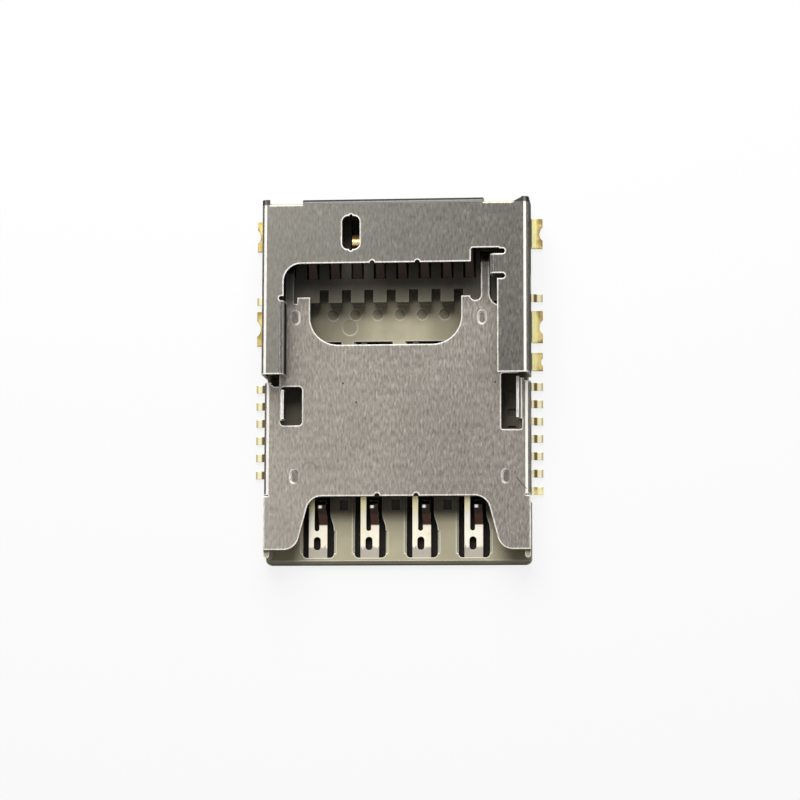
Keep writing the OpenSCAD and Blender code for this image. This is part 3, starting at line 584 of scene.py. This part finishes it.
def sight_mask(tree):
    """A mask of the rays that look: from the camera, and from shiny or clear faces."""
    return either(tree, None, "Is Camera Ray", "Is Glossy Ray", "Is Transmission Ray")


def stage_plane(name, size, z, colour, white_share):
    """A stage plane whose upper side shows white by a share, and whose back is clear."""
    bpy.ops.object.select_all(action="DESELECT")
    bpy.ops.mesh.primitive_plane_add(size=1)
    plane = bpy.context.active_object
    plane.name = name
    plane.data.transform(Matrix.Translation((0, 0, z)) @ Matrix.Diagonal((*size, 1, 1)))
    material, tree, shader = new_material(name)
    tree.nodes.remove(shader)
    matte = add_node(tree, "ShaderNodeBsdfDiffuse", {"Color": (*colour, 1)})
    white = add_node(tree, "ShaderNodeEmission", {"Strength": 1})
    face = add_node(tree, "ShaderNodeMixShader")
    tree.links.new(multiply(tree, sight_mask(tree), white_share), face.inputs[0])
    tree.links.new(matte.outputs[0], face.inputs[1])
    tree.links.new(white.outputs[0], face.inputs[2])
    clear = add_node(tree, "ShaderNodeBsdfTransparent")
    facing = add_node(tree, "ShaderNodeNewGeometry")
    both = add_node(tree, "ShaderNodeMixShader")
    passed = either(tree, facing.outputs["Backfacing"], "Is Shadow Ray", "Is Diffuse Ray")
    tree.links.new(passed, both.inputs[0])
    tree.links.new(face.outputs[0], both.inputs[1])
    tree.links.new(clear.outputs[0], both.inputs[2])
    tree.links.new(both.outputs[0], tree.nodes["Material Output"].inputs["Surface"])
    plane.data.materials.append(material)


stage_plane("floor", floor_size, floor_z, floor_white, floor_share)
# The dark card is painted shade: it stands for a desk in shade under the socket
stage_plane("shaded_desk_card", card_size, card_z, card_shade, 0)

# Light: a white room, which is dim on matte faces, and one soft lamp low at the rear, so that
# shadows fall towards the card mouths. The camera and shiny metal see the room as white.
room_strength = 0.14
lamp_lean = (-0.12, 1.35)
lamp_distance = 0.12
lamp_size = 0.11
world = bpy.data.worlds.new("white_room")
bpy.context.scene.world = world
world.use_nodes = True
tree = world.node_tree
tree.nodes["Background"].inputs["Color"].default_value = (1, 1, 1, 1)
tree.links.new(
    spread(tree, sight_mask(tree), 0, 1, room_strength, 1),
    tree.nodes["Background"].inputs["Strength"],
)
lamp_data = bpy.data.lights.new("rear_lamp", "AREA")
lamp_data.shape = "DISK"
lamp_data.size = lamp_size
lamp_way = Vector((*lamp_lean, 1)).normalized()
# As much light on a level face below as makes a white one white
lamp_data.energy = math.pi ** 2 * lamp_distance ** 2 / lamp_way.z
lamp = bpy.data.objects.new("rear_lamp", lamp_data)
bpy.context.scene.collection.objects.link(lamp)
lamp.location = lamp_way * lamp_distance
lamp.rotation_euler = lamp_way.to_track_quat("Z", "Y").to_euler()

# Camera: almost straight above, a little to the right and towards the card mouths, as the
# photograph was taken. Its lean, roll, aim and focal length were fitted to the photograph.
view_lean = (0.0975, -0.1212)
view_roll = 0.0024
view_distance = 0.14
view_aim = Vector((0.0315 * MM, -0.7306 * MM, 0))
focal_pixels = 2854.4
frame_pixels = 800
sensor = 36
camera_data = bpy.data.cameras.new("camera")
camera_data.sensor_width = sensor
camera_data.lens = focal_pixels / frame_pixels * sensor
camera_data.clip_start = 0.01
camera_data.clip_end = 10
camera = bpy.data.objects.new("camera", camera_data)
bpy.context.scene.collection.objects.link(camera)
towards = Vector((*view_lean, 1)).normalized()
right = Vector((0, 1, 0)).cross(towards).normalized()
above = towards.cross(right)
turned_right = math.cos(view_roll) * right + math.sin(view_roll) * above
turned_above = math.cos(view_roll) * above - math.sin(view_roll) * right
axes = Matrix((turned_right, turned_above, towards)).transposed().to_4x4()
camera.matrix_world = Matrix.Translation(view_aim + view_distance * towards) @ axes
bpy.context.scene.camera = camera

bpy.context.scene.view_settings.view_transform = "Standard"
